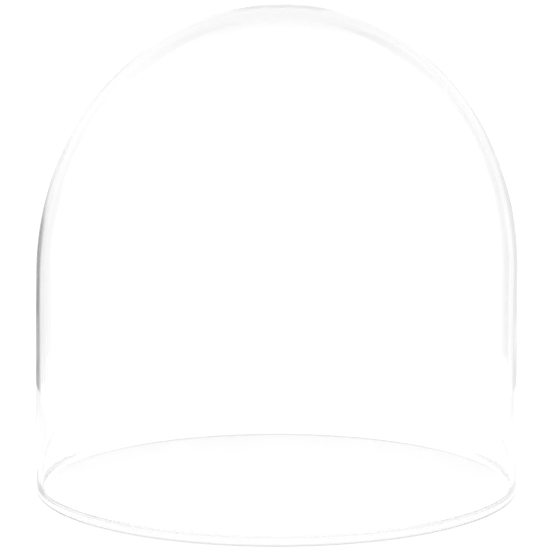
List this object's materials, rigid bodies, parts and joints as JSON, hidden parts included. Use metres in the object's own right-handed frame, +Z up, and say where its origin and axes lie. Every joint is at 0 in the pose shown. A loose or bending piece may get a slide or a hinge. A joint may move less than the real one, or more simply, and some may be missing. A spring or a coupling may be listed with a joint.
{
  "type": "glass cloche",
  "caption": "Plain clear glass garden cloche: a knobless blown bell with straight lower wall, domed crown, open mouth and thickened fire-polished rim.",
  "frame": {"origin": "centre of the circle on which the rim stands, at the level of the rim's lowest face", "axes": "+Z up along the bell's axis of revolution, from the mouth to the crown; +X and +Y are any two directions across the mouth, since the bell is round"},
  "size_m": [0.29, 0.29, 0.293],
  "materials": {
    "clear_glass": "clear, fire-polished"
  },
  "bodies": {
    "root": {"glass_bell": "clear_glass"}
  },
  "joints": []
}
